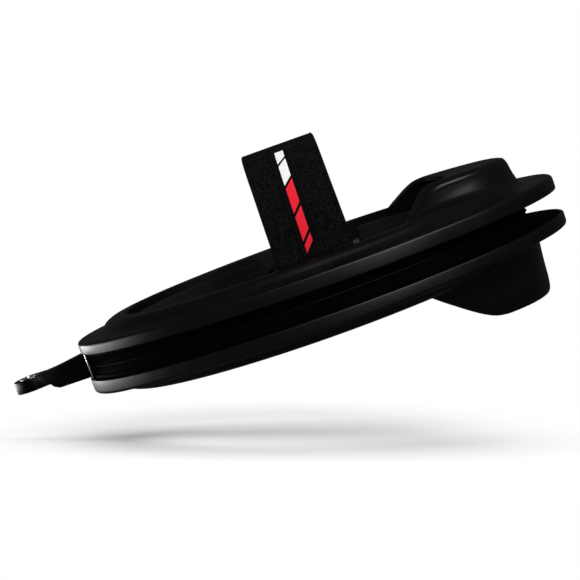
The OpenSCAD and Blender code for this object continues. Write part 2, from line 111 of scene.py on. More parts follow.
def at(o, t, d, z):
    return raised(oval(o, t, d), z)


def deck(t, u, z):
    return raised(oval(LIP, t) * (1 - u) + oval(OUTER, t) * u, z)


DECK_U = [0, 0.1, 0.22, 0.36, 0.5, 0.66, 0.84, 1]
DECK_S = [0, 0.005, 0.03, 0.22, 0.66, 0.88, 0.96, 1]


def fall(u):
    return smooth_curve(DECK_U, DECK_S, np.clip(u, 0, 1))


def deck_height(x, y):
    """Height of the deck's surface over a point of the plan."""
    lo, hi = np.full(np.shape(x), -0.6), np.full(np.shape(x), 1.4)
    for _ in range(40):
        u = (lo + hi) / 2
        c = (x - LIP[2] * (1 - u)) / (LIP[0] * (1 - u) + OUTER[0] * u)
        s = y / (LIP[1] * (1 - u) + OUTER[1] * u)
        out = c * c + s * s > 1
        lo, hi = np.where(out, u, lo), np.where(out, hi, u)
    return LIP_H - DROP * fall((lo + hi) / 2)


def bend(a, b, c, q):
    """Point at share q of the curve that leaves a towards b and arrives at c."""
    return (1 - q) ** 2 * a + 2 * q * (1 - q) * b + q * q * c


def softened(a, deg, width):
    """Evens out a row of values along the stations, leaving both ends where they are."""
    gap = np.gradient(deg)
    w = np.exp(-0.5 * ((deg[:, None] - deg[None]) / width) ** 2) * gap[None]
    w /= w.sum(axis=1, keepdims=True)
    keep = step(76, 86, abs(deg)).reshape((-1,) + (1,) * (a.ndim - 1))
    return (w @ a) * (1 - keep) + a * keep


CORNER_STEPS = 5


def rounded(p, radii):
    """Rounds the corners of a row of points in every section; p is stations x points x 3."""
    out = []
    n = p.shape[1]
    for j in range(n):
        r = radii.get(j, 0)
        if not r:
            out.append(p[:, j : j + 1])
            continue
        a, b, c = p[:, (j - 1) % n], p[:, j], p[:, (j + 1) % n]
        da, dc = a - b, c - b
        la, lc = np.linalg.norm(da, axis=1), np.linalg.norm(dc, axis=1)
        q = np.minimum(r, 0.48 * np.minimum(la, lc))
        a, c = b + da * (q / la)[:, None], b + dc * (q / lc)[:, None]
        out += [bend(a, b, c, i / CORNER_STEPS)[:, None] for i in range(CORNER_STEPS + 1)]
    return np.concatenate(out, 1)


def grid_faces(n, m, wrap_n, wrap_m, start=0, flip=False):
    faces = []
    for i in range(n if wrap_n else n - 1):
        for j in range(m if wrap_m else m - 1):
            a, b = i * m + j, ((i + 1) % n) * m + j
            c, d = ((i + 1) % n) * m + (j + 1) % m, i * m + (j + 1) % m
            f = (a, d, c, b) if flip else (a, b, c, d)
            faces.append(tuple(start + v for v in f))
    return faces


class Shape:
    """Vertices and faces gathered from several grids."""

    def __init__(self):
        self.v, self.f, self.uv = [], [], []

    def grid(self, p, wrap_n=False, wrap_m=False, flip=False, cap=False):
        n, m = p.shape[:2]
        start = sum(len(v) for v in self.v)
        self.v.append(p.reshape(-1, 3))
        self.f += grid_faces(n, m, wrap_n, wrap_m, start, flip)
        if cap:
            first = list(range(start, start + m))
            last = list(range(start + (n - 1) * m, start + n * m))
            self.f.append(tuple(first if not flip else first[::-1]))
            self.f.append(tuple(last[::-1] if not flip else last))
        return self

    def mirrored_z(self):
        self.v = [v * [1, 1, -1] for v in self.v]
        self.f = [f[::-1] for f in self.f]
        return self


def make(name, shape, body, material, replaces=(), sharp=None):
    mesh = bpy.data.meshes.new(name)
    mesh.from_pydata([tuple(v) for v in place(np.concatenate(shape.v))], [], shape.f)
    mesh.validate()
    mesh.polygons.foreach_set("use_smooth", [True] * len(mesh.polygons))
    if sharp:
        mesh.set_sharp_from_angle(angle=math.radians(sharp))
    mesh.update()
    ob = bpy.data.objects.new(name, mesh)
    scene.collection.objects.link(ob)
    mesh.materials.append(material)
    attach(ob, body)
    if replaces:
        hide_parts(*([replaces] if isinstance(replaces, str) else replaces))
    return ob


def set_uv(ob, flat):
    """UVs in millimetres, one for each vertex, for the woven materials."""
    layer = ob.data.uv_layers.new(name="mm")
    for loop in ob.data.loops:
        layer.data[loop.index].uv = flat[loop.vertex_index]


# ------------------------------------------------------------------ materials
def material(name):
    m = bpy.data.materials.new(name)
    m.use_nodes = True
    nt = m.node_tree
    bsdf = next(n for n in nt.nodes if n.type == "BSDF_PRINCIPLED")
    return m, nt, bsdf


def node(nt, kind, **inputs):
    n = nt.nodes.new(kind)
    for k, v in inputs.items():
        key = k.replace("_", " ")
        if key in n.inputs:
            n.inputs[key].default_value = v
        else:
            setattr(n, k, v)
    return n


def ramp(nt, source, stops):
    r = nt.nodes.new("ShaderNodeValToRGB")
    while len(r.color_ramp.elements) < len(stops):
        r.color_ramp.elements.new(0.5)
    for e, (pos, col) in zip(r.color_ramp.elements, stops):
        e.position = pos
        e.color = (col, col, col, 1) if isinstance(col, (int, float)) else (*col, 1)
    nt.links.new(source, r.inputs["Fac"])
    return r.outputs["Color"]


def coords(nt):
    return nt.nodes.new("ShaderNodeTexCoord").outputs["Object"]


def moulded(name, base, rough, grain=0.12, spec=0.5, wear=0.02):
    """Satin moulded plastic: fine spark-eroded grain, slow unevenness of gloss, faint handling marks."""
    m, nt, b = material(name)
    co = coords(nt)
    fine = node(nt, "ShaderNodeTexNoise", Scale=1800.0, Detail=2.0, Roughness=0.5)
    slow = node(nt, "ShaderNodeTexNoise", Scale=28.0, Detail=4.0, Roughness=0.55)
    marks = node(nt, "ShaderNodeTexNoise", Scale=190.0, Detail=3.0, Roughness=0.7)
    for n in (fine, slow, marks):
        nt.links.new(co, n.inputs["Vector"])
    tint = ramp(nt, slow.outputs["Fac"], [(0.3, base * 0.85), (0.7, base * 1.2 + wear * 0.1)])
    nt.links.new(tint, b.inputs["Base Color"])
    r1 = node(nt, "ShaderNodeMapRange")
    r1.inputs["From Min"].default_value, r1.inputs["From Max"].default_value = 0.25, 0.75
    r1.inputs["To Min"].default_value, r1.inputs["To Max"].default_value = rough - 0.035, rough + 0.045
    nt.links.new(slow.outputs["Fac"], r1.inputs["Value"])
    r2 = node(nt, "ShaderNodeMath", operation="MULTIPLY_ADD")
    r2.inputs[1].default_value = 0.06
    nt.links.new(marks.outputs["Fac"], r2.inputs[0])
    nt.links.new(r1.outputs["Result"], r2.inputs[2])
    nt.links.new(r2.outputs["Value"], b.inputs["Roughness"])
    b.inputs["Specular IOR Level"].default_value = spec
    bump = node(nt, "ShaderNodeBump", Strength=grain, Distance=0.00012)
    nt.links.new(fine.outputs["Fac"], bump.inputs["Height"])
    nt.links.new(bump.outputs["Normal"], b.inputs["Normal"])
    return m


def metal(name, colour, rough, brushed=0.0):
    m, nt, b = material(name)
    co = coords(nt)
    stretch = node(nt, "ShaderNodeMapping")
    stretch.inputs["Scale"].default_value = (1, 1, 14) if brushed else (1, 1, 1)
    nt.links.new(co, stretch.inputs["Vector"])
    n = node(nt, "ShaderNodeTexNoise", Scale=260.0, Detail=4.0, Roughness=0.6)
    nt.links.new(stretch.outputs["Vector"], n.inputs["Vector"])
    dark = tuple(c * 0.82 for c in colour)
    nt.links.new(ramp(nt, n.outputs["Fac"], [(0.3, dark), (0.65, colour)]), b.inputs["Base Color"])
    r = ramp(nt, n.outputs["Fac"], [(0.3, rough + 0.12), (0.7, rough)])
    nt.links.new(r, b.inputs["Roughness"])
    b.inputs["Metallic"].default_value = 1.0
    bump = node(nt, "ShaderNodeBump", Strength=0.08 + brushed * 0.2, Distance=0.0001)
    nt.links.new(n.outputs["Fac"], bump.inputs["Height"])
    nt.links.new(bump.outputs["Normal"], b.inputs["Normal"])
    return m


SHELL_MAT = moulded("moulded_black", 0.0016, 0.33, spec=0.26, wear=0.001)
# the hood's inner skin is matt, as moulded, and its colour is lighter than the outside's, which paints
# light on the inside of the hood
INSIDE_PAINTED_LIGHT_MAT = moulded("moulded_inside_painted_light", 0.0045, 0.6, grain=0.3, spec=0.08, wear=0.001)
# the groove rims are darker than the shells and almost without gloss, which paints the shade deep in the
# groove
RIM_SHADE_MAT = moulded("rim_black", 0.0010, 0.55, spec=0.006, wear=0.001)
BEAD_MAT = moulded("bead_black", 0.0016, 0.4, spec=0.1, wear=0.001)
LUG_MAT = moulded("lug_black", 0.0014, 0.34, spec=0.08, wear=0.001)
BLOCK_MAT = moulded("block_black", 0.003, 0.5, spec=0.2, wear=0.003)
DARK_MAT = metal("black_steel", (0.035, 0.035, 0.037), 0.42, 0.2)
STEEL_MAT = metal("zinc_steel", (0.56, 0.57, 0.59), 0.28, 0.4)
BRIGHT_MAT = metal("bright_steel", (0.78, 0.78, 0.79), 0.16)
ZINC_MAT = metal("turned_alloy", (0.62, 0.63, 0.65), 0.3, 0.5)
BRONZE_MAT = metal("sintered_bronze", (0.5, 0.36, 0.17), 0.42)


def foam(name, base):
    """Soft cellular liner: matt, finely pitted, slightly mottled."""
    m, nt, b = material(name)
    co = coords(nt)
    cells = node(nt, "ShaderNodeTexVoronoi", Scale=1500.0)
    mott = node(nt, "ShaderNodeTexNoise", Scale=70.0, Detail=5.0, Roughness=0.6)
    for n in (cells, mott):
        nt.links.new(co, n.inputs["Vector"])
    col = ramp(nt, mott.outputs["Fac"], [(0.3, base * 0.8), (0.7, base * 1.2)])
    nt.links.new(col, b.inputs["Base Color"])
    b.inputs["Roughness"].default_value = 0.82
    b.inputs["Specular IOR Level"].default_value = 0.2
    bump = node(nt, "ShaderNodeBump", Strength=0.3, Distance=0.0002)
    nt.links.new(cells.outputs["Distance"], bump.inputs["Height"])
    nt.links.new(bump.outputs["Normal"], b.inputs["Normal"])
    return m


def woven(name, colour, across, along, rough=0.75, depth=0.00022, sheen=0.15, tone_and_shade=0.25, spec=0.12,
          grain=0.6, grain_scale=420.0, span=(0.15, 0.8)):
    """Woven webbing: threads across and along, from the UVs, which are in millimetres. The colour is
    painted darker between the threads and lighter on their crowns, over a random tone.
    """
    m, nt, b = material(name)
    uv = nt.nodes.new("ShaderNodeUVMap")
    uv.uv_map = "mm"
    sep = nt.nodes.new("ShaderNodeSeparateXYZ")
    nt.links.new(uv.outputs["UV"], sep.inputs["Vector"])

    def wave(source, period, shift=None):
        w = node(nt, "ShaderNodeMath", operation="MULTIPLY")
        w.inputs[1].default_value = TAU / period
        nt.links.new(source, w.inputs[0])
        out = w.outputs[0]
        if shift is not None:
            a = node(nt, "ShaderNodeMath", operation="ADD")
            nt.links.new(out, a.inputs[0])
            nt.links.new(shift, a.inputs[1])
            out = a.outputs[0]
        s = node(nt, "ShaderNodeMath", operation="SINE")
        nt.links.new(out, s.inputs[0])
        return s.outputs[0]

    warp = wave(sep.outputs["X"], across)
    sign = node(nt, "ShaderNodeMath", operation="SIGN")
    nt.links.new(warp, sign.inputs[0])
    phase = node(nt, "ShaderNodeMath", operation="MULTIPLY")
    phase.inputs[1].default_value = math.pi / 2
    nt.links.new(sign.outputs[0], phase.inputs[0])
    weft = wave(sep.outputs["Y"], along, phase.outputs[0])
    both = node(nt, "ShaderNodeMath", operation="MULTIPLY_ADD")
    both.inputs[1].default_value = 0.5
    aw = node(nt, "ShaderNodeMath", operation="ABSOLUTE")
    nt.links.new(warp, aw.inputs[0])
    nt.links.new(weft, both.inputs[0])
    nt.links.new(aw.outputs[0], both.inputs[2])
    noise = node(nt, "ShaderNodeTexNoise", Scale=grain_scale, Detail=3.0, Roughness=0.6)
    nt.links.new(coords(nt), noise.inputs["Vector"])
    h = node(nt, "ShaderNodeMath", operation="MULTIPLY_ADD")
    h.inputs[1].default_value = grain
    nt.links.new(noise.outputs["Fac"], h.inputs[0])
    nt.links.new(both.outputs[0], h.inputs[2])
    lo = tuple(max(0, c * (1 - tone_and_shade)) for c in colour)
    hi = tuple(min(1, c * (1 + tone_and_shade)) for c in colour)
    rng = node(nt, "ShaderNodeMapRange")
    rng.inputs["From Min"].default_value, rng.inputs["From Max"].default_value = -0.3, 1.3 + grain
    nt.links.new(h.outputs[0], rng.inputs["Value"])
    # the colour follows the bump's height: painted shade in the low places between the threads and
    # painted light on the raised ones, with the noise's random tone on top
    tint = ramp(nt, rng.outputs["Result"], [(span[0], lo), (span[1], hi)])
    nt.links.new(tint, b.inputs["Base Color"])
    b.inputs["Roughness"].default_value = rough
    b.inputs["Sheen Weight"].default_value = sheen
    b.inputs["Specular IOR Level"].default_value = spec
    bump = node(nt, "ShaderNodeBump", Strength=0.7, Distance=depth)
    nt.links.new(h.outputs[0], bump.inputs["Height"])
    nt.links.new(bump.outputs["Normal"], b.inputs["Normal"])
    return m


FOAM_MAT = foam("liner_foam", 0.0055)
WEB_MAT = woven("black_webbing", (0.0040, 0.0040, 0.0042), 2.3, 1.8, rough=0.85, depth=0.0003,
                sheen=0.0, tone_and_shade=1.6, spec=0.0, grain=4.5, grain_scale=540.0, span=(0.43, 0.62))
TAPE_MAT = woven("black_tape", (0.0026, 0.0026, 0.0028), 1.2, 1.0, rough=0.9, depth=0.00014,
                 sheen=0.0, tone_and_shade=0.7, spec=0.025)
INK = dict(rough=0.62, depth=0.0001, sheen=0.05)
RED_MAT = woven("red_blocks", (0.80, 0.014, 0.030), 0.9, 0.7, tone_and_shade=0.08, **INK)
WHITE_MAT = woven("white_blocks", (0.86, 0.84, 0.82), 0.9, 0.7, tone_and_shade=0.05, **INK)
THREAD_MAT = woven("black_thread", (0.012, 0.012, 0.0125), 0.5, 0.5, rough=0.8, depth=0.00008,
                   spec=0.1, sheen=0.0)

# ------------------------------------------------------------------ shells
RING_N = 432
T = np.arange(RING_N) * TAU / RING_N


def shell_band(lower):
    """One shell's ring: the upper flange's edge is lower at the tail, the lower one's at the nose."""
    us = np.concatenate([np.linspace(0.12, 0.86, 26), [1.0]])
    tail = step(-0.7, 0.4, np.cos(T))
    dip = 2.6 * (1 - step(-0.97, -0.62, np.cos(T))) if lower else 0 * T
    edge = GAP_H if lower else GAP_H - 2.0 * tail
    rows = [at(LIP, T, 0, SEAT_GAP), at(LIP, T, 0, LIP_H)]
    radii = {1: 2.4}
    rows += [deck(T, u, LIP_H - (DROP - dip) * float(fall(u))) for u in us[:-1]]
    radii[len(rows)] = 4.0 if lower else 5.2
    rows.append(deck(T, 1.0, RIM_H + dip))
    radii[len(rows)] = 1.9
    rows.append(at(OUTER, T, 0, edge))
    radii[len(rows)] = 0.5
    rows.append(at(OUTER, T, -SHELL_WALL, edge))
    rows.append(at(OUTER, T, -SHELL_WALL, RIM_H - SHELL_WALL - 0.6))
    for u in (0.86, 0.66, 0.5, 0.36, 0.22):
        rows.append(deck(T, u - 0.02, LIP_H - DROP * float(fall(u)) - SHELL_WALL))
    rows.append(at(LIP, T, SHELL_WALL, LIP_H - SHELL_WALL - 0.6))
    rows.append(at(LIP, T, SHELL_WALL, SEAT_GAP))
    return rounded(np.stack(rows, 1), radii)


HOOD_FOOT, HOOD_REAR, ROOF_W, NOTCH, HOOD_WALL = 160.0, 30.0, 104.0, 20.0, 4.0
FOOT_X = HALF_L - HOOD_FOOT
FOOT_Y = LIP[1] * math.sqrt(1 - ((FOOT_X - LIP[2]) / LIP[0]) ** 2) + 1.5
LEAD = 0.28
# how a hood's wall goes in and up from its foot to its crest, at the sides and at the rear
SIDE_WALL = [[0, 0], [0.3, 0.1], [0.55, 0.3], [0.76, 0.58], [0.9, 0.83], [1, 1]]
REAR_WALL = [[0, 0], [0.16, 0.1], [0.4, 0.45], [0.55, 0.8], [0.75, 0.95], [1, 1]]
# points of a hood's section: up the outer wall, in its foot's fillet, and on its lip and inner skin
WALL_POINTS, FOOT_POINTS, FOOT_R, INSIDE_POINTS = 44, 9, 5.0, 36


def hood(h, front, drop_back, rim):
    """A hood's closed skin, as stations round the tail by points round the wall."""
    # stations lie closer together where the hood runs out into the deck
    deg = [np.linspace(-89.6, -60, 50), np.linspace(-59, 59, 119), np.linspace(60, 89.6, 50)]
    deg = np.concatenate(deg)
    t = np.radians(deg)
    k = np.maximum(0, (abs(deg) / 90 - 1 + LEAD) / LEAD)
    side = np.sign(deg)
    r = np.radians(np.minimum(90, abs(deg) / (1 - LEAD)))
    base = np.stack([FOOT_X + (HOOD_FOOT - HOOD_REAR) * np.cos(t), FOOT_Y * np.sin(t)], -1)
    crest = np.where(
        (k > 0)[:, None],
        np.stack(
            [
                HALF_L - front + (front - HOOD_FOOT) * k,
                side * (ROOF_W / 2 + (FOOT_Y - ROOF_W / 2) * k),
            ],
            -1,
        ),
        np.stack(
            [HALF_L - front + (front - rim["rear"]) * np.cos(r), side * ROOF_W / 2 * np.sin(r)], -1
        ),
    )
    w = 1.3 * HOOD_WALL
    edge = np.where(
        (k > 0)[:, None],
        crest + np.stack([-w + 0.8 * w * k, -side * w * (1 - 0.35 * k)], -1),
        np.stack(
            [
                np.minimum(
                    crest[:, 0] - w,
                    HALF_L - front + NOTCH * (1 - (2 * 0.9 * crest[:, 1] / ROOF_W) ** 2),
                ),
                0.9 * crest[:, 1],
            ],
            -1,
        ),
    )
    back = (crest[:, 0] - HALF_L + front) / (front - rim["rear"])
    top = np.where(k > 0, h - (h - LIP_H + 1) * k**1.2, h - drop_back * back)
    crest, edge, top = softened(crest, deg, 4.5), softened(edge, deg, 5.0), softened(top, deg, 4.0)
    inward = crest - base
    length = np.linalg.norm(inward, axis=1)
    inward = inward / np.maximum(length, 0.5)[:, None]
    rear = np.cos(t) ** 2
    z0 = RIM_H + 0.5
    root_z = np.maximum(22.0, np.sin(t) ** 2 * 30.2)
    # outer wall
    v = np.linspace(0, 1, 61)
    ks = np.linspace(0, 1, len(SIDE_WALL))
    sx, sz = (smooth_curve(ks, np.array(SIDE_WALL)[:, i], v) for i in (0, 1))
    rx, rz = (smooth_curve(ks, np.array(REAR_WALL)[:, i], v) for i in (0, 1))
    mx = sx[None] * (1 - rear[:, None]) + rx[None] * rear[:, None]
    mz = sz[None] * (1 - rear[:, None]) + rz[None] * rear[:, None]
    wall = np.empty((len(t), len(v), 3))
    wall[..., :2] = base[:, None] + (crest - base)[:, None] * mx[..., None]
    wall[..., 2] = z0 + (top[:, None] - z0) * mz
    ground = deck_height(wall[..., 0], wall[..., 1])
    rows = []
    for i in range(len(t)):
        p = wall[i]
        over = p[:, 2] - ground[i]
        j = int(np.argmax(over > 0)) if (over > 0).any() else len(v) - 1
        j = max(j, 1)
        a, b = over[j - 1], over[j]
        f = 0 if b == a else np.clip(-a / (b - a), 0, 1)
        cross = p[j - 1] + (p[j] - p[j - 1]) * f
        rest = np.vstack([cross[None], p[j:]])
        s = np.concatenate([[0], np.cumsum(np.linalg.norm(np.diff(rest, axis=0), axis=1))])
        fr = min(FOOT_R, 0.4 * s[-1] + 0.05)
        cr = min(rim["round"] + rim["back"] * rear[i] ** 2, 0.35 * s[-1] + 0.05)

        def along(d):
            return np.array([np.interp(d, s, rest[:, c]) for c in range(3)])

        out_xy = cross[:2] - inward[i] * fr
        start = np.array([*out_xy, 0.0])
        start[2] = deck_height(np.array([out_xy[0]]), np.array([out_xy[1]]))[0] - 0.05
        up = along(fr)
        foot = [bend(start, cross, up, q) for q in np.linspace(0, 1, FOOT_POINTS)]
        body = [along(d) for d in np.linspace(fr, s[-1] - cr, WALL_POINTS)[1:]]
        c3 = np.array([*crest[i], top[i]])
        e3 = np.array([*edge[i], top[i]])
        roof_len = np.linalg.norm(e3 - c3)
        cr2 = min(cr, 0.35 * roof_len)
        on_roof = c3 + (e3 - c3) * cr2 / max(roof_len, 1e-6)
        low = along(s[-1] - cr)
        corner = [bend(low, c3, on_roof, q) for q in np.linspace(0, 1, 8)[1:]]
        er = min(1.4, 0.3 * roof_len)
        before = c3 + (e3 - c3) * (1 - er / max(roof_len, 1e-6))
        roof = [on_roof + (before - on_roof) * q for q in np.linspace(0, 1, 12)[1:]]
        thick = min(HOOD_WALL, max(0.6, top[i] - z0 - 1.5))
        e_low = e3 - [0, 0, thick]
        lip = [bend(before, e3, e3 - [0, 0, er], q) for q in np.linspace(0, 1, 6)[1:]]
        c_in = np.array([*(crest[i] + inward[i] * HOOD_WALL), top[i] - thick])
        under = [e_low + (c_in - e_low) * q for q in np.linspace(0, 1, 6)]
        inner = []
        for q in np.linspace(1, 0, 22)[1:]:
            jx = np.interp(q, v, mx[i])
            jz = np.interp(q, v, mz[i])
            xy = base[i] + (crest[i] - base[i]) * jx + inward[i] * HOOD_WALL
            inner.append(np.array([*xy, z0 + (top[i] - thick - z0) * jz]))
        root = [np.array([*(base[i] + inward[i] * w), root_z[i]]) for w in (HOOD_WALL, 1.0)]
        root.append(np.array([*(start[:2] + inward[i]), start[2] - 2.0]))
        rows.append(np.array(foot + body + corner + roof + lip + under + inner + root))
    p = np.array(rows)
    # raised rim along the leading edge and the front part of the roof's edge, a narrow valley
    # behind it and a shallow hollow beyond
    nrm = np.cross(np.gradient(p, axis=0), np.gradient(p, axis=1))
    nrm /= np.maximum(np.linalg.norm(nrm, axis=2, keepdims=True), 1e-9)
    c0 = FOOT_POINTS + WALL_POINTS - 1
    seg = np.linalg.norm(np.diff(p, axis=1), axis=2)
    cum = np.concatenate([np.zeros((len(t), 1)), np.cumsum(seg, axis=1)], 1)
    from_crest = cum[:, c0 + 3][:, None] - cum
    w = rim["width"]
    band = 1 - step(w, w + 1.6, from_crest)
    hollow = step(w, w + 9, from_crest) * (1 - step(w + 12, w + 34, from_crest))
    valley = step(w - 0.5, w + 1.5, from_crest) * (1 - step(w + 2.2, w + 5.2, from_crest))
    fade = step(rim["from"], rim["full"], abs(deg))[:, None] * (1 - step(84, 88.5, abs(deg)))[:, None]
    amount = (rim["height"] * band - rim["hollow"] * hollow - rim["valley"] * valley) * fade
    amount[:, c0 + 8 :] = 0
    taper = 1 - step(c0 + 2, c0 + 7, np.arange(p.shape[1]))[None]
    return p - nrm * (amount * taper)[..., None]


def build_shell(name, h, front, drop_back, mirror, rim):
    s = Shape()
    s.grid(shell_band(mirror), wrap_n=True, wrap_m=True, flip=True)
    ring, skin = len(s.f), hood(h, front, drop_back, rim)
    s.grid(skin, wrap_m=True, flip=True, cap=True)
    if mirror:
        s.mirrored_z()
    ob = make(name, s, "frame", SHELL_MAT, name.replace("moulding", "shell"), 40)
    # the hood's inner skin is as moulded, without the gloss of the outside, and its colour is painted
    # lighter than the outside's, which paints light on it
    ob.data.materials.append(INSIDE_PAINTED_LIGHT_MAT)
    n, m = skin.shape[:2]
    if len(ob.data.polygons) == len(s.f):
        for k in range((n - 1) * m):
            if k % m >= m - INSIDE_POINTS:
                ob.data.polygons[ring + k].material_index = 1


UPPER_EDGE = {
    "width": 4.2, "height": 1.0, "from": 22, "full": 54, "hollow": 1.1, "valley": 1.4,
    "round": 2.0, "back": 3.0, "rear": 44.0,
}
LOWER_EDGE = {
    "width": 4.6, "height": 0.8, "from": 30, "full": 58, "hollow": 0.6, "valley": 0.0,
    "round": 2.2, "back": -0.6, "rear": 38.0,
}
build_shell("upper_moulding", 61.0, 122.0, 3.0, False, UPPER_EDGE)
build_shell("lower_moulding", 86.0, 94.0, 0.0, True, LOWER_EDGE)


# ------------------------------------------------------------------ groove: rims and parting bead
POCKET_HALF, POCKET_END = 13.8, 15.0 - HALF_L + 14.5
# height at which a groove rim starts, over the bead's half height
RIM_LOW, BEAD_H = 0.8, 0.6


def solid_box(x0, x1, y0, y1, z0, z1, name):
    lo, hi = place([x0, y0, z0]), place([x1, y1, z1])
    me = bpy.data.meshes.new(name)
    pts = [(x, y, z) for x in (lo[0], hi[0]) for y in (lo[1], hi[1]) for z in (lo[2], hi[2])]
    faces = [(0, 1, 3, 2), (4, 6, 7, 5), (0, 4, 5, 1), (2, 3, 7, 6), (0, 2, 6, 4), (1, 5, 7, 3)]
    me.from_pydata(pts, [], faces)
    ob = bpy.data.objects.new(name, me)
    scene.collection.objects.link(ob)
    return ob


def pocket_cutter():
    """Block that cuts the hub's pocket into the nose of the groove."""
    return solid_box(-HALF_L - 8, POCKET_END, -POCKET_HALF, POCKET_HALF, -GAP_H, GAP_H, "cutter")


def baked(ob, steps):
    """Applies boolean steps to a mesh and removes the helper solids."""
    for kind, other in steps:
        mod = ob.modifiers.new("cut", "BOOLEAN")
        mod.operation, mod.object, mod.solver = kind, other, "EXACT"
    bpy.context.view_layer.update()
    cut = ob.evaluated_get(bpy.context.evaluated_depsgraph_get())
    me = bpy.data.meshes.new_from_object(cut)
    ob.modifiers.clear()
    ob.data = me
    for _, other in steps:
        bpy.data.objects.remove(other)


def rim_band(mirror):
    rows = [
        at(FLOOR, T, 0, RIM_LOW), at(FLOOR, T, -RIM_WALL, RIM_LOW),
        at(FLOOR, T, -RIM_WALL, GAP_H + RIM_WALL),
        at(OUTER, T, -SHELL_WALL - SEAT_GAP, GAP_H + RIM_WALL),
        at(OUTER, T, -SHELL_WALL - SEAT_GAP, GAP_H),
        at(FLOOR, T, 1.2, GAP_H), at(FLOOR, T, 1.2, 9.5), at(FLOOR, T, 0, 8.5),
    ]
    p = rounded(np.stack(rows, 1), {4: 0.4, 5: 1.2, 6: 0.5, 7: 0.5})
    s = Shape().grid(p, wrap_n=True, wrap_m=True, flip=True)
    return s.mirrored_z() if mirror else s


for name, node_name, m in (("upper_groove_rim", "upper_rim", 1), ("lower_groove_rim", "lower_rim", -1)):
    ob = make(name, rim_band(m < 0), "frame", RIM_SHADE_MAT, node_name, 35)
    zs = sorted([RIM_LOW * m, (GAP_H + RIM_WALL - 0.05) * m])
    wide = POCKET_HALF + 3
    block = solid_box(8.5 - HALF_L, POCKET_END + 3, -wide, wide, *zs, "pocket_wall")
    baked(ob, [("UNION", block), ("DIFFERENCE", pocket_cutter())])
bead = [
    at(FLOOR, T, d, z) for d, z in ((1.4, -BEAD_H), (-3, -BEAD_H), (-3, BEAD_H), (1.4, BEAD_H), (1.8, 0))
]
bead = rounded(np.stack(bead, 1), {0: 0.4, 3: 0.4, 4: 0.5})
bead = Shape().grid(bead, wrap_n=True, wrap_m=True, flip=True)
bead_ob = make("parting_bead", bead, "frame", BEAD_MAT, "seam_bead", 35)
baked(bead_ob, [("DIFFERENCE", pocket_cutter())])


# ------------------------------------------------------------------ soft liners
def lip_angle(x):
    return math.acos((x - LIP[2]) / LIP[0])


def liner(name, a, b, node_name):
    """A padded band along the lip from angle a to b."""
    t = np.linspace(a, b, 260)
    n = len(t)
    h, th, r, swell = 29.0, 4.0, 1.5, 0.35
    # the band thins towards its cut ends, and swells a little between its edges
    end = np.minimum(step(0, 4, np.arange(n)), step(0, 4, np.arange(n)[::-1]))
    rows = []
    for i, ti in enumerate(t):
        thin = (1 - end[i]) * 0.8

        def edge(q, z):
            return at(LIP, ti, -(th - r) - r * math.sin(q) + thin, z)

        pts = [at(LIP, ti, -0.2, -h + 0.3)]
        pts += [edge(q, -h + r * (1 - math.cos(q))) for q in np.linspace(0, math.pi / 2, 5)]
        for z in np.linspace(-h + r + 2, h - r - 2, 15):
            bulge = swell * (1 - (z / h) ** 2) - swell
            pts.append(at(LIP, ti, -th + thin - bulge * 0.5, z))
        pts += [edge(q, h - r * (1 - math.cos(q))) for q in np.linspace(math.pi / 2, 0, 5)]
        pts.append(at(LIP, ti, -0.2, h - 0.3))
        rows.append(np.array(pts))
    s = Shape().grid(np.array(rows), wrap_m=True, cap=True)
    ob = make(name, s, "frame", FOAM_MAT, node_name, 50)


# where the liners end on either side of the strap's pockets
POCKET = 56.0
liner("nose_foam", lip_angle(-POCKET), TAU - lip_angle(-POCKET), "nose_liner")
liner("tail_foam", -lip_angle(POCKET), lip_angle(POCKET), "tail_liner")

# ------------------------------------------------------------------ strap
STRAP_LO, STRAP_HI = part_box("strap_webbing")
SX = (STRAP_LO[0] + STRAP_HI[0]) * 500 - RING[0]
STRAP_W, STRAP_T, TAPE_W, TAPE_T = 75.0, 2.6, 22.0, 0.6
STRAP_Y = RING[1] - mid("near_strap_rod", 1) * 1000
FOOT_Z, CROWN_Z, POWER = LIP_H - 7.5, LIP_H + 106.5 - STRAP_T / 2 - TAPE_T, 2.2
HEM_Z = mid("near_strap_rod", 2) * 1000 - RING[2]
# thickness of the crown's second layer, and the gap under the tape
FOLD_T, TAPE_GAP = 0.78, 0.1


def strap_path():
    """The strap's middle line from one hem to the other: Y, Z and the distance run."""
    a = np.concatenate([np.linspace(0, 6, 60), np.linspace(6, 174, 800)[1:-1], np.linspace(174, 180, 60)])
    a = np.radians(a)
    y = -np.sign(np.cos(a)) * STRAP_Y * abs(np.cos(a)) ** (2 / POWER)
    z = FOOT_Z + (CROWN_Z - FOOT_Z) * np.maximum(0, np.sin(a)) ** (2 / POWER)
    y = np.concatenate([[-STRAP_Y], y, [STRAP_Y]])
    z = np.concatenate([[HEM_Z], z, [HEM_Z]])
    s = np.concatenate([[0], np.cumsum(np.hypot(np.diff(y), np.diff(z)))])
    return y, z, s


PY, PZ, PS = strap_path()
PATH_L = PS[-1]


def strap_at(d, off):
    """Point at distance d along the strap, moved outwards by off."""
    e = 0.6
    y, z = np.interp(d, PS, PY), np.interp(d, PS, PZ)
    dy = np.interp(d + e, PS, PY) - np.interp(d - e, PS, PY)
    dz = np.interp(d + e, PS, PZ) - np.interp(d - e, PS, PZ)
    n = np.hypot(dy, dz)
    return y - off * dz / n, z + off * dy / n


def strip(name, d, x, off, mat, replaces):
    """A woven strip: d runs along the strap, x and off are its cross-section, both stations x points."""
    y, z = strap_at(d[:, None], off)
    s = Shape().grid(np.stack([x + SX, y, z], -1), wrap_m=True, cap=True)
    ob = make(name, s, "frame", mat, replaces)
    set_uv(ob, np.stack([x, np.broadcast_to(d[:, None], x.shape)], -1).reshape(-1, 2))


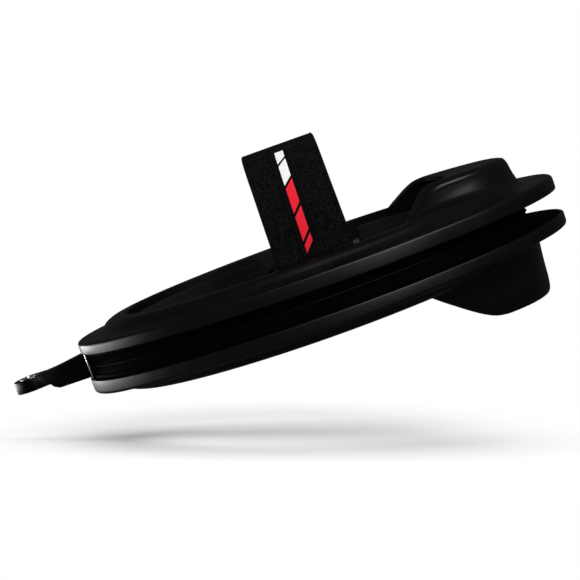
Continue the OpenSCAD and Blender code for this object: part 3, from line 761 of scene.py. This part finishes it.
def section(width, thick, n_flat):
    """A flat band's outline with half-round edges: across and outwards."""
    w, h = width / 2, thick / 2
    top = [(x, h) for x in np.linspace(-w + h, w - h, n_flat)]
    right = [(w - h + h * math.sin(q), h * math.cos(q)) for q in np.linspace(0, math.pi, 7)[1:-1]]
    bottom = [(-x, -y) for x, y in top]
    left = [(-x, -y) for x, y in right]
    return np.array(top + right + bottom + left)


def build_strap():
    crown = PATH_L / 2 + np.concatenate([np.linspace(-42, -34, 40), np.linspace(34, 42, 40)])
    d = np.sort(np.concatenate([np.linspace(1.5, PATH_L - 1.5, 420), crown]))
    sec = section(STRAP_W, STRAP_T, 151)
    x = np.broadcast_to(sec[:, 0], (len(d), len(sec))).copy()
    off = np.broadcast_to(sec[:, 1], (len(d), len(sec))).copy()
    far = abs(d - PATH_L / 2)[:, None]
    # the webbing necks in a little between the crown and the feet
    x *= 1 - 0.012 * np.exp(-(((far - 95) / 40) ** 2))
    outer, inner = off > STRAP_T / 2 - 0.01, off < -STRAP_T / 2 + 0.01
    ax = abs(x)
    # thicker selvedges, with a fine groove inside each
    sel = -0.35 * np.exp(-(((ax - 33.6) / 0.55) ** 2)) - 0.12 * (1 - step(33.6, 34.6, ax))
    # fine lengthwise ribs
    ribs = 0.05 * np.cos(x * TAU / 3.0) * (ax < 33)
    # seams across the strap where the doubled crown ends
    seam = -0.45 * np.exp(-(((far - 38.6) / 0.7) ** 2))
    # a second layer folded over the crown covers the tape's ends
    fold = FOLD_T * (1 - step(37.6, 38.4, far))
    off += np.where(outer, sel + ribs + seam + fold, 0) - np.where(inner, sel + ribs + seam, 0)
    strip("strap_web", d, x, off, WEB_MAT, "strap_webbing")


build_strap()


def hem(y_side):
    """The sewn tube round the rod at the strap's end."""
    n, stations, bore = 40, 60, 2.15
    xs = np.linspace(-STRAP_W / 2 + 0.2, STRAP_W / 2 - 0.2, stations)

    def loop_at(x, r):
        return [
            [x + SX, y_side * STRAP_Y + r * math.cos(a), HEM_Z + r * math.sin(a)]
            for a in np.linspace(0, TAU, n, endpoint=False)
        ]

    rows = [loop_at(x, 4.55 - 0.4 * math.exp(-((abs(x) - STRAP_W / 2) / 0.8) ** 2)) for x in xs]
    rows += [loop_at(x, bore) for x in xs[::-1]]
    s = Shape().grid(np.array(rows), wrap_n=True, wrap_m=True, flip=True)
    name = "strap_hem_" + ("near" if y_side < 0 else "far")
    ob = make(name, s, "frame", WEB_MAT, (), 60)
    last = 2 * stations - 1
    set_uv(ob, [(min(i, last - i) * 1.25, j * 0.72) for i in range(last + 1) for j in range(n)])


hem(-1)
hem(1)


def build_tape():
    half = PATH_L / 2 - (FOOT_Z - HEM_Z) - 2
    crown = PATH_L / 2
    for name, a, b in (("near", crown - half, crown - 37), ("far", crown + 37, crown + half)):
        d = np.linspace(a, b, 220)
        sec = section(TAPE_W, TAPE_T, 61)
        x = np.broadcast_to(sec[:, 0], (len(d), len(sec))).copy()
        off = np.broadcast_to(sec[:, 1], (len(d), len(sec))).copy() + STRAP_T / 2 + TAPE_GAP + TAPE_T / 2
        off += np.where(sec[:, 1] > 0.2, -0.12 * np.exp(-(((abs(x) - 9.6) / 0.4) ** 2)), 0)
        strip("stripe_tape_" + name, d, x, off, TAPE_MAT, "stripe_tape")


build_tape()


def stitches(name, runs, mat):
    """Rows of raised stitches; a run is its two ends, as (along, across), and a height over the face."""
    length, pitch, radius = 2.3, 3.1, 0.26
    s = Shape()
    flat = []
    ring, k = 6, 5
    for (d0, x0), (d1, x1), height in runs:
        span = math.hypot(d1 - d0, x1 - x0)
        n = max(1, int(span / pitch))
        dd, dx = (d1 - d0) / span, (x1 - x0) / span
        for i in range(n):
            mid_s = (i + 0.5) * span / n
            p = np.empty((k, ring, 3))
            for a in range(k):
                u = a / (k - 1)
                t = mid_s + (u - 0.5) * length
                r = radius * math.sqrt(max(0.06, 1 - (2 * u - 1) ** 4))
                sink = 0.35 * radius * (2 * u - 1) ** 2
                for b in range(ring):
                    q = TAU * b / ring
                    across, lift = r * math.cos(q), r * 0.8 * math.sin(q)
                    d = d0 + dd * t - dx * across
                    x = x0 + dx * t + dd * across
                    y, z = strap_at(np.array([d]), np.array([STRAP_T / 2 + height + lift - sink]))
                    p[a, b] = [x + SX, y[0], z[0]]
                    flat.append((across, t))
            s.grid(p, wrap_m=True, cap=True)
    set_uv(make(name, s, "frame", mat, (), 60), flat)


def build_stitches():
    runs = []
    half = PATH_L / 2
    w = STRAP_W / 2 - 5
    foot = half - (FOOT_Z - HEM_Z) - 12
    on_tape = TAPE_W / 2
    for sgn in (-1, 1):

        def across(far, x0, x1, height):
            runs.append(((half + sgn * far, x0), (half + sgn * far, x1), height))

        for far in (36.2, 34.4):
            across(far, -w, w, FOLD_T)
        for far in (foot, foot - 2.6, foot - 5.2):
            across(far, -w, -on_tape - 1, 0.06)
            across(far, on_tape + 1, w, 0.06)
            across(far, -on_tape + 1, on_tape - 1, TAPE_T + 0.14)
        for x in (-on_tape + 1.5, on_tape - 1.5):
            runs.append(((half + sgn * 39.5, x), (half + sgn * (foot + 2), x), TAPE_T + TAPE_GAP))
    stitches("strap_stitching", runs, THREAD_MAT)


build_stitches()

# Slanted blocks along the tape: distances from the crown at the left edge, and white or red.
# The right edge lies nearer the crown.
BLOCKS = [
    (38.9, 61.8, "w"), (65.6, 91.2, "w"), (95.0, 121.2, "r"), (125.0, 148.3, "r"), (152.1, 159.8, "r"),
]
BLOCK_W, BLOCK_SLANT, BLOCK_FIRST = 8.6, 9.6, 38.9


def build_blocks(kind, mat):
    s = Shape()
    flat = []
    n, m = 16, 14
    us = np.linspace(0, 1, m)
    top = STRAP_T / 2 + TAPE_GAP + TAPE_T + 0.16
    from_end = np.minimum(np.arange(n), np.arange(n)[::-1])
    inset = np.minimum(np.minimum(us, 1 - us)[None] * m, from_end[:, None])
    for sgn in (-1, 1):
        for a, b, c in BLOCKS:
            if c != kind:
                continue
            far, x = np.empty((n, m)), np.empty((n, m))
            for i in range(n):
                for j in range(m):
                    lo = a if a < 39 else a - BLOCK_SLANT * us[j]
                    hi = b if b > 160 else b - BLOCK_SLANT * us[j]
                    lo = max(lo, BLOCK_FIRST)
                    f = lo + (hi - lo) * i / (n - 1)
                    far[i, j] = f
                    x[i, j] = -1.1 - 2.0 * (f - 38) / 122 - 3.5 + BLOCK_W * us[j]
            d = PATH_L / 2 + sgn * far
            y, z = strap_at(d, top - 0.12 * (inset < 0.5))
            y2, z2 = strap_at(d, top - 0.3)
            flip = sgn > 0
            start = sum(len(v) for v in s.v)
            s.grid(np.stack([x + SX, y, z], -1), flip=not flip)
            s.grid(np.stack([x + SX, y2, z2], -1), flip=flip)
            ring = [(0, j) for j in range(m)] + [(i, m - 1) for i in range(1, n)]
            ring += [(n - 1, j) for j in range(m - 2, -1, -1)] + [(i, 0) for i in range(n - 2, 0, -1)]
            ids = [start + i * m + j for i, j in ring]
            for u, this in enumerate(ids):
                following = ids[(u + 1) % len(ids)]
                g = (this, following, following + n * m, this + n * m)
                s.f.append(g if not flip else g[::-1])
            flat += [(x[i, j], d[i, j]) for i in range(n) for j in range(m)] * 2
    name = "stripe_blocks_" + ("white" if kind == "w" else "red")
    set_uv(make(name, s, "frame", mat, (), 40), flat)


build_blocks("w", WHITE_MAT)
build_blocks("r", RED_MAT)

# ------------------------------------------------------------------ carried-over pieces
FINISH = {
    "tether_lug": LUG_MAT, "lug_eyelet": BRIGHT_MAT,
    "near_anchor_block": BLOCK_MAT, "far_anchor_block": BLOCK_MAT,
    "near_clamp_plate": DARK_MAT, "far_clamp_plate": DARK_MAT,
    "near_nut_strip": STEEL_MAT, "far_nut_strip": STEEL_MAT,
    "near_strap_rod": STEEL_MAT, "far_strap_rod": STEEL_MAT,
    "near_clamp_screws": DARK_MAT, "far_clamp_screws": DARK_MAT, "case_screws": DARK_MAT,
    "case_standoffs": ZINC_MAT, "lug_pin": STEEL_MAT, "pin_clips": STEEL_MAT, "stop_pins": BRIGHT_MAT,
    "upper_lug_bush": BRONZE_MAT, "lower_lug_bush": BRONZE_MAT,
    "upper_thrust_washer": BRONZE_MAT, "lower_thrust_washer": BRONZE_MAT,
}
SOFT = {"tether_lug": 1.1, "lug_eyelet": 0.25, "near_anchor_block": 0.8, "far_anchor_block": 0.8}


def crisp(ob, width):
    """Small rounded edges on a carried-over piece."""
    ob.data.polygons.foreach_set("use_smooth", [True] * len(ob.data.polygons))
    weld = ob.modifiers.new("weld", "WELD")
    weld.merge_threshold = 0.000002
    flats = ob.modifiers.new("flats", "DECIMATE")
    flats.decimate_type, flats.angle_limit = "DISSOLVE", math.radians(0.4)
    bevel = ob.modifiers.new("edges", "BEVEL")
    bevel.width, bevel.segments, bevel.limit_method = width / 1000, 3, "ANGLE"
    bevel.angle_limit, bevel.harden_normals = math.radians(34), True


for name, mat in FINISH.items():
    ob = NODES[name]
    crisp(ob, SOFT.get(name, 0.22))
    for i in range(max(1, len(ob.material_slots))):
        if ob.material_slots:
            ob.material_slots[i].material = mat
        else:
            ob.data.materials.append(mat)

# ------------------------------------------------------------------ camera
PITCH, YAW = 0.129, -0.025
FORWARD = Vector((math.cos(PITCH) * math.sin(YAW), math.cos(PITCH) * math.cos(YAW), -math.sin(PITCH)))
LEVEL_RIGHT = Vector((math.cos(YAW), -math.sin(YAW), 0))
LEVEL_UP = LEVEL_RIGHT.cross(FORWARD)
ROLL = math.radians(-19.77)
RIGHT = LEVEL_RIGHT * math.cos(ROLL) + LEVEL_UP * math.sin(ROLL)
UP = LEVEL_UP * math.cos(ROLL) - LEVEL_RIGHT * math.sin(ROLL)
cam_data = bpy.data.cameras.new("camera")
cam_data.lens, cam_data.sensor_width = 90.4, 36.0
cam_data.clip_start, cam_data.clip_end = 0.05, 30
cam = bpy.data.objects.new("camera", cam_data)
scene.collection.objects.link(cam)
EYE = Vector(place([3.9, -1456.4, 191.0]))
cam.matrix_world = Matrix((
    (RIGHT.x, UP.x, -FORWARD.x, EYE.x), (RIGHT.y, UP.y, -FORWARD.y, EYE.y),
    (RIGHT.z, UP.z, -FORWARD.z, EYE.z), (0, 0, 0, 1),
))
scene.camera = cam

# ------------------------------------------------------------------ stage, lamps and background
TILT = math.radians(-0.5)
FLOOR_UP = (UP * math.cos(TILT) - FORWARD * math.sin(TILT)).normalized()
FLOOR_BACK = FLOOR_UP.cross(RIGHT)
CENTRE = Vector(place([0, 0, 0]))
FLOOR_AT = CENTRE - FLOOR_UP * 0.160


FLOOR_HALF = (1.6, 1.2)


def floor():
    me = bpy.data.meshes.new("floor")
    w, h = FLOOR_HALF
    corners = [(-w, -h, 0), (w, -h, 0), (w, h, 0), (-w, h, 0)]
    me.from_pydata(corners, [], [(0, 1, 2, 3)])
    ob = bpy.data.objects.new("floor", me)
    scene.collection.objects.link(ob)
    axes = (RIGHT, FLOOR_BACK, FLOOR_UP, FLOOR_AT)
    ob.matrix_world = Matrix([[axis[i] for axis in axes] for i in range(3)] + [[0, 0, 0, 1]])
    m, nt, b = material("floor_white")
    b.inputs["Base Color"].default_value = (0.8, 0.8, 0.8, 1)
    b.inputs["Roughness"].default_value = 1.0
    b.inputs["Specular IOR Level"].default_value = 0.0
    me.materials.append(m)
    ob.visible_shadow = False
    link = nt.links.new
    # the camera sees the lit floor a little brighter than its plain colour, so that only the
    # soft shadow is darker than the background, and all other rays see a dark, dull one
    glow = node(nt, "ShaderNodeEmission", Color=(1, 1, 1, 1), Strength=0.22)
    add = node(nt, "ShaderNodeAddShader")
    dim = node(nt, "ShaderNodeBsdfDiffuse", Color=(0.10, 0.10, 0.10, 1))
    path = node(nt, "ShaderNodeLightPath")
    seen = node(nt, "ShaderNodeMixShader")
    link(b.outputs[0], add.inputs[0])
    link(glow.outputs[0], add.inputs[1])
    link(path.outputs["Is Camera Ray"], seen.inputs[0])
    link(dim.outputs[0], seen.inputs[1])
    link(add.outputs[0], seen.inputs[2])
    # it fades out all round, so that its rim never shows, and is clear from below
    squeeze = node(nt, "ShaderNodeMapping", Location=(0.04, 0.0, 0.0), Scale=(1.0, 0.6, 1.0))
    spread = node(nt, "ShaderNodeVectorMath", operation="LENGTH")
    fade = node(nt, "ShaderNodeMapRange", interpolation_type="SMOOTHSTEP")
    fade.inputs["From Min"].default_value, fade.inputs["From Max"].default_value = 0.13, 0.38
    gone = node(nt, "ShaderNodeMath", operation="MAXIMUM")
    geo = node(nt, "ShaderNodeNewGeometry")
    link(coords(nt), squeeze.inputs["Vector"])
    link(squeeze.outputs["Vector"], spread.inputs[0])
    link(spread.outputs["Value"], fade.inputs["Value"])
    link(geo.outputs["Backfacing"], gone.inputs[0])
    link(fade.outputs["Result"], gone.inputs[1])
    clear = node(nt, "ShaderNodeBsdfTransparent")
    pick = node(nt, "ShaderNodeMixShader")
    link(gone.outputs[0], pick.inputs[0])
    link(seen.outputs[0], pick.inputs[1])
    link(clear.outputs[0], pick.inputs[2])
    out = next(n for n in nt.nodes if n.type == "OUTPUT_MATERIAL")
    link(pick.outputs[0], out.inputs["Surface"])


floor()

world = bpy.data.worlds.new("world")
scene.world = world
world.use_nodes = True
wt = world.node_tree
bg = next(n for n in wt.nodes if n.type == "BACKGROUND")
bg.inputs["Color"].default_value = (1, 1, 1, 1)
wp = wt.nodes.new("ShaderNodeLightPath")
# the camera sees plain white; the part is lit and mirrored by only a share of it
strength = wt.nodes.new("ShaderNodeMapRange")
strength.inputs["To Min"].default_value, strength.inputs["To Max"].default_value = 0.05, 1.0
wt.links.new(wp.outputs["Is Camera Ray"], strength.inputs["Value"])
wt.links.new(strength.outputs["Result"], bg.inputs["Strength"])


def lamp(name, where, size, power, size_y):
    """A rectangular lamp turned to the ring's centre."""
    d = bpy.data.lights.new(name, "AREA")
    d.energy, d.size, d.shape, d.size_y = power, size, "RECTANGLE", size_y
    ob = bpy.data.objects.new(name, d)
    scene.collection.objects.link(ob)
    ob.location = where
    aim = CENTRE - ob.location
    ob.rotation_mode = "QUATERNION"
    ob.rotation_quaternion = aim.to_track_quat("-Z", "Y")
    return ob


def spot(r, u, f):
    """A place by how far right, up and towards the camera of the ring's centre it is."""
    return CENTRE + RIGHT * r + UP * u - FORWARD * f


KEY_AT = Vector(place([-1150, 290, -38]))
key = lamp("key_left", KEY_AT, 1.35, 8.6, 0.16)
# the strip light lies level with the ring, so that it lights the nose's upright bands
away = (KEY_AT - CENTRE).normalized()
across = Vector((0, 0, 1)).cross(away).normalized()
above = away.cross(across)
turned = Matrix([[axis[i] for axis in (across, above, away)] for i in range(3)])
key.rotation_quaternion = turned.to_quaternion()
lamp("front_soft", spot(0.3, 0.8, 1.4), 1.3, 16, 0.55)
# the overhead light only softens the shadow below: it has no mirror image in the dark plastic
lamp("top_soft", spot(0.1, 1.5, -0.1), 1.6, 26, 2.4).visible_glossy = False
lamp("right_fill", spot(0.36, 0.2, 1.2), 0.24, 3.2, 0.4)

scene.view_settings.view_transform = "Standard"

bpy.context.view_layer.update()
